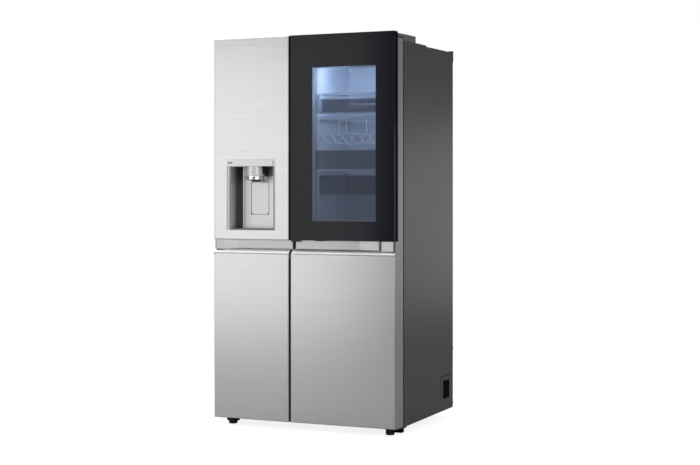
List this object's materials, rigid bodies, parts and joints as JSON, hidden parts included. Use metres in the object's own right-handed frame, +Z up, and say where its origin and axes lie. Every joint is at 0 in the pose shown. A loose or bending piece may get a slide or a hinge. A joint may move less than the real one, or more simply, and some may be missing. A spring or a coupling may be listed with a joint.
{
  "type": "side by side refrigerator",
  "caption": "Freestanding side by side refrigerator and freezer with an ice and water dispenser and a dark glass outer door with a clear window.",
  "frame": {"origin": "on the floor at the centre of the footprint", "axes": "+X to the right seen from the front, +Y from the doors to the rear, +Z up"},
  "size_m": [0.913, 0.735, 1.79],
  "materials": {
    "stainless": "fine horizontal brushed finish",
    "case_paint": "satin dark grey paint",
    "zinc_sheet": "zinc-coated sheet",
    "hinge_steel": "black coated steel",
    "foam": "rigid insulating foam",
    "door_body": "grey sheet-clad foam body",
    "liner": "white moulded liner",
    "seal": "soft magnetic seal",
    "black_glass": "dark printed glass with a clear window",
    "clear_glass": "clear glass",
    "clear_plastic": "clear moulded plastic",
    "black_plastic": "satin black",
    "grey_plastic": "satin grey",
    "light_plastic": "satin light grey",
    "dark_rubber": "black rubber",
    "copper_tube": "black coated tube and fins",
    "fins": "bare aluminium",
    "compressor_paint": "black enamel",
    "wire_chrome": "bright wire"
  },
  "bodies": {
    "cabinet": {"side_panel_left": "case_paint", "side_panel_right": "case_paint", "top_panel": "case_paint", "rear_panel": "zinc_sheet", "base_pan": "hinge_steel", "cabinet_foam": "foam", "freezer_liner": "liner", "fridge_liner": "liner", "front_frame": "case_paint", "hinge_covers": "grey_plastic", "cabinet_hinges": "hinge_steel", "rear_top_cap": "black_plastic", "machine_room_cover": "zinc_sheet", "side_vent_grille": "black_plastic", "compressor": "compressor_paint", "condenser": "copper_tube", "fan_shroud": "black_plastic", "evaporator": "fins", "freezer_duct_panel": "liner", "fridge_duct_panel": "light_plastic", "power_inlet": "black_plastic", "freezer_shelves": "clear_plastic", "ice_maker": "light_plastic", "fridge_shelf_glass": "clear_glass", "fridge_shelf_trims": "light_plastic", "wine_rack": "wire_chrome"},
    "condenser_fan": {"condenser_fan": "black_plastic"},
    "roller_left": {"roller_left": "black_plastic"},
    "roller_right": {"roller_right": "black_plastic"},
    "foot_left": {"foot_left": "dark_rubber"},
    "foot_right": {"foot_right": "dark_rubber"},
    "deli_drawer": {"deli_drawer": "clear_plastic"},
    "crisper_upper": {"crisper_upper": "clear_plastic"},
    "crisper_lower": {"crisper_lower": "clear_plastic"},
    "freezer_drawer_upper": {"freezer_drawer_upper": "clear_plastic"},
    "freezer_drawer_lower": {"freezer_drawer_lower": "clear_plastic"},
    "freezer_door": {"freezer_door_upper_skin": "stainless", "freezer_door_lower_skin": "stainless", "freezer_door_core": "door_body", "freezer_door_liner": "liner", "freezer_door_gasket": "seal", "freezer_door_grip": "stainless", "dispenser_housing": "light_plastic", "dispenser_control_strip": "light_plastic", "dispenser_spout": "light_plastic", "dispenser_tray": "grey_plastic", "freezer_door_bins": "clear_plastic"},
    "dispenser_paddle": {"dispenser_paddle": "light_plastic"},
    "fridge_door": {"fridge_door_lower_skin": "stainless", "fridge_door_core": "door_body", "fridge_door_liner": "liner", "fridge_door_gasket": "seal", "fridge_door_grip": "stainless", "fridge_door_bins": "clear_plastic", "view_door_hinges": "hinge_steel"},
    "view_door": {"view_door_glass": "black_glass", "view_door_frame": "black_plastic", "view_door_pane": "clear_glass", "view_door_gasket": "seal"},
    "latch_button": {"latch_button": "black_plastic"}
  },
  "joints": [
    {"name": "freezer_door_hinge", "type": "hinge", "parent": "cabinet", "child": "freezer_door", "pos_m": [-0.4345, -0.2975, 0.9], "axis": [0, 0, -1], "range_deg": [0, 105]},
    {"name": "fridge_door_hinge", "type": "hinge", "parent": "cabinet", "child": "fridge_door", "pos_m": [0.4345, -0.2975, 0.9], "axis": [0, 0, 1], "range_deg": [0, 105]},
    {"name": "view_door_hinge", "type": "hinge", "parent": "fridge_door", "child": "view_door", "pos_m": [0.4445, -0.3535, 1.3], "axis": [0, 0, 1], "range_deg": [0, 95]},
    {"name": "latch_button_slide", "type": "slide", "parent": "view_door", "child": "latch_button", "axis": [0, 0, 1], "range_m": [0, 0.005], "stiffness_N_per_m": 300, "springref_m": -0.004},
    {"name": "dispenser_paddle_hinge", "type": "hinge", "parent": "freezer_door", "child": "dispenser_paddle", "pos_m": [-0.2627, -0.272, 1.121], "axis": [1, 0, 0], "range_deg": [0, 9], "stiffness_Nm_per_rad": 0.6, "springref_deg": -8.59},
    {"name": "condenser_fan_spin", "type": "hinge", "parent": "cabinet", "child": "condenser_fan", "pos_m": [-0.06, 0.2325, 0.165], "axis": [1, 0, 0], "continuous": true},
    {"name": "roller_left_spin", "type": "hinge", "parent": "cabinet", "child": "roller_left", "pos_m": [-0.35, 0.1925, 0.022], "axis": [1, 0, 0], "continuous": true},
    {"name": "roller_right_spin", "type": "hinge", "parent": "cabinet", "child": "roller_right", "pos_m": [0.35, 0.1925, 0.022], "axis": [1, 0, 0], "continuous": true},
    {"name": "foot_left_turn", "type": "hinge", "parent": "cabinet", "child": "foot_left", "pos_m": [-0.4, -0.2875, 0.0165], "axis": [0, 0, 1], "range_deg": [-360, 360]},
    {"name": "foot_right_turn", "type": "hinge", "parent": "cabinet", "child": "foot_right", "pos_m": [0.4, -0.2875, 0.0165], "axis": [0, 0, 1], "range_deg": [-360, 360]},
    {"name": "deli_drawer_slide", "type": "slide", "parent": "cabinet", "child": "deli_drawer", "axis": [0, -1, 0], "range_m": [0, 0.055]},
    {"name": "crisper_upper_slide", "type": "slide", "parent": "cabinet", "child": "crisper_upper", "axis": [0, -1, 0], "range_m": [0, 0.07]},
    {"name": "crisper_lower_slide", "type": "slide", "parent": "cabinet", "child": "crisper_lower", "axis": [0, -1, 0], "range_m": [0, 0.07]},
    {"name": "freezer_drawer_upper_slide", "type": "slide", "parent": "cabinet", "child": "freezer_drawer_upper", "axis": [0, -1, 0], "range_m": [0, 0.07]},
    {"name": "freezer_drawer_lower_slide", "type": "slide", "parent": "cabinet", "child": "freezer_drawer_lower", "axis": [0, -1, 0], "range_m": [0, 0.07]}
  ]
}
